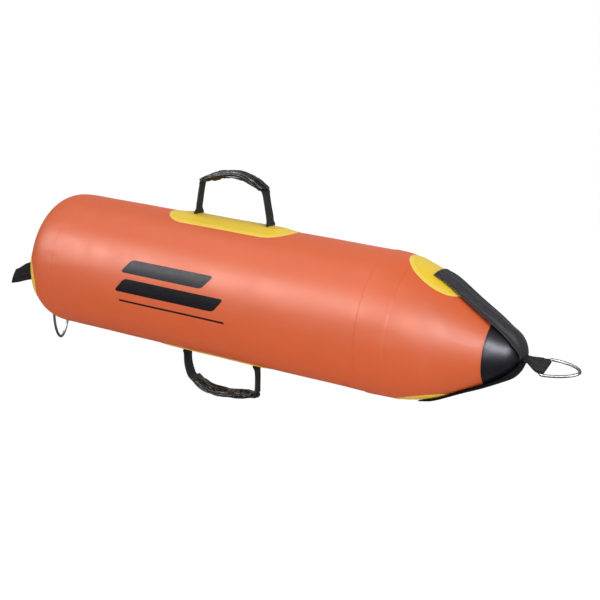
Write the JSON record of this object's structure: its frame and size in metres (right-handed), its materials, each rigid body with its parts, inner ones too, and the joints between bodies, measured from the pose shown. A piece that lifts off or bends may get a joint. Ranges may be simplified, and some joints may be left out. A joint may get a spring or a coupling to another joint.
{
  "type": "inflatable torpedo rescue buoy",
  "caption": "Inflatable torpedo-shaped rescue buoy with a domed tail, tapered nose, webbing carrying handles, steel tow rings on webbing loops and a screw inflation valve.",
  "frame": {"origin": "on the hull's axis, half way along the hull between the tail's middle and the nose's tip", "axes": "+X along the hull towards the nose, +Z towards the top handle, +Y towards the valve"},
  "size_m": [0.9018, 0.2228, 0.3373],
  "materials": {
    "orange_fabric": "PVC-coated fabric, satin, welded seams",
    "yellow_fabric": "PVC-coated fabric, satin",
    "black_fabric": "PVC-coated fabric, semi-gloss",
    "black_webbing": "woven polyester webbing",
    "grip_fabric": "wrapped and sewn coated fabric",
    "steel": "polished stainless steel wire",
    "valve_plastic": "moulded, fine matt",
    "valve_rubber": "moulded, matt"
  },
  "bodies": {
    "hull": {"tube_panel": "orange_fabric", "tail_panel": "orange_fabric", "nose_cone_panel": "orange_fabric", "nose_seam_tape": "orange_fabric", "tail_seam_tape": "orange_fabric", "long_seam_tape": "orange_fabric", "nose_cap": "black_fabric", "top_nose_patch": "yellow_fabric", "bottom_nose_patch": "yellow_fabric", "top_nose_strap": "black_webbing", "bottom_nose_strap": "black_webbing", "top_handle_anchor": "black_webbing", "top_handle_patch": "yellow_fabric", "bottom_handle_anchor": "black_webbing", "bottom_handle_patch": "yellow_fabric", "tail_handle_anchor": "black_webbing", "tail_handle_patch": "yellow_fabric", "tail_ring_patch": "yellow_fabric", "tail_ring_loop": "black_webbing", "valve_patch": "orange_fabric", "valve_collar": "valve_plastic", "valve_gasket": "valve_rubber", "valve_neck": "valve_plastic", "valve_flap": "valve_rubber"},
    "top_handle": {"top_handle_webbing": "black_webbing", "top_handle_grip": "grip_fabric"},
    "bottom_handle": {"bottom_handle_webbing": "black_webbing", "bottom_handle_grip": "grip_fabric"},
    "tail_handle": {"tail_handle_webbing": "black_webbing"},
    "nose_loop": {"nose_ring_loop": "black_webbing"},
    "nose_ring": {"nose_ring": "steel"},
    "tail_ring": {"tail_ring": "steel"},
    "valve_tether": {"valve_tether": "valve_rubber"},
    "valve_cap": {"valve_cap": "valve_plastic", "valve_cap_seal": "valve_rubber"}
  },
  "joints": [
    {"name": "top_handle_swing", "type": "hinge", "parent": "hull", "child": "top_handle", "pos_m": [-0.07191, 0, 0.1042], "axis": [1, 0, 0], "range_deg": [-84, 84], "deforming": ["top_handle_webbing"]},
    {"name": "bottom_handle_swing", "type": "hinge", "parent": "hull", "child": "bottom_handle", "pos_m": [-0.07191, 0, -0.1042], "axis": [1, 0, 0], "range_deg": [-78, 78], "deforming": ["bottom_handle_webbing"]},
    {"name": "tail_handle_swing", "type": "hinge", "parent": "hull", "child": "tail_handle", "pos_m": [-0.37979, 0, -0.01896], "axis": [0, 1, 0], "range_deg": [-35, 105], "deforming": ["tail_handle_webbing"]},
    {"name": "nose_loop_bend", "type": "hinge", "parent": "hull", "child": "nose_loop", "pos_m": [0.38431, 0, -0.01074], "axis": [0, 1, 0], "range_deg": [-50, 32]},
    {"name": "nose_ring_swing", "type": "hinge", "parent": "nose_loop", "child": "nose_ring", "pos_m": [0.40778, 0, -0.01573], "axis": [0.0812, 0.9205, 0.3822], "range_deg": [-75, 112]},
    {"name": "tail_ring_swing", "type": "hinge", "parent": "hull", "child": "tail_ring", "pos_m": [-0.37134, 0, -0.08573], "axis": [0, 1, 0], "range_deg": [-35, 85]},
    {"name": "valve_cap_lift", "type": "slide", "parent": "hull", "child": "valve_tether", "axis": [0, 1, 0], "range_m": [0, 0.004], "deforming": ["valve_tether"]},
    {"name": "valve_cap_turn", "type": "hinge", "parent": "valve_tether", "child": "valve_cap", "pos_m": [-0.18891, 0.1101, 0], "axis": [0, 1, 0], "range_deg": [0, 360]}
  ],
  "couplings": [
    {"joint": "valve_cap_lift", "follows": "valve_cap_turn", "m_per_rad": 0.000636}
  ]
}
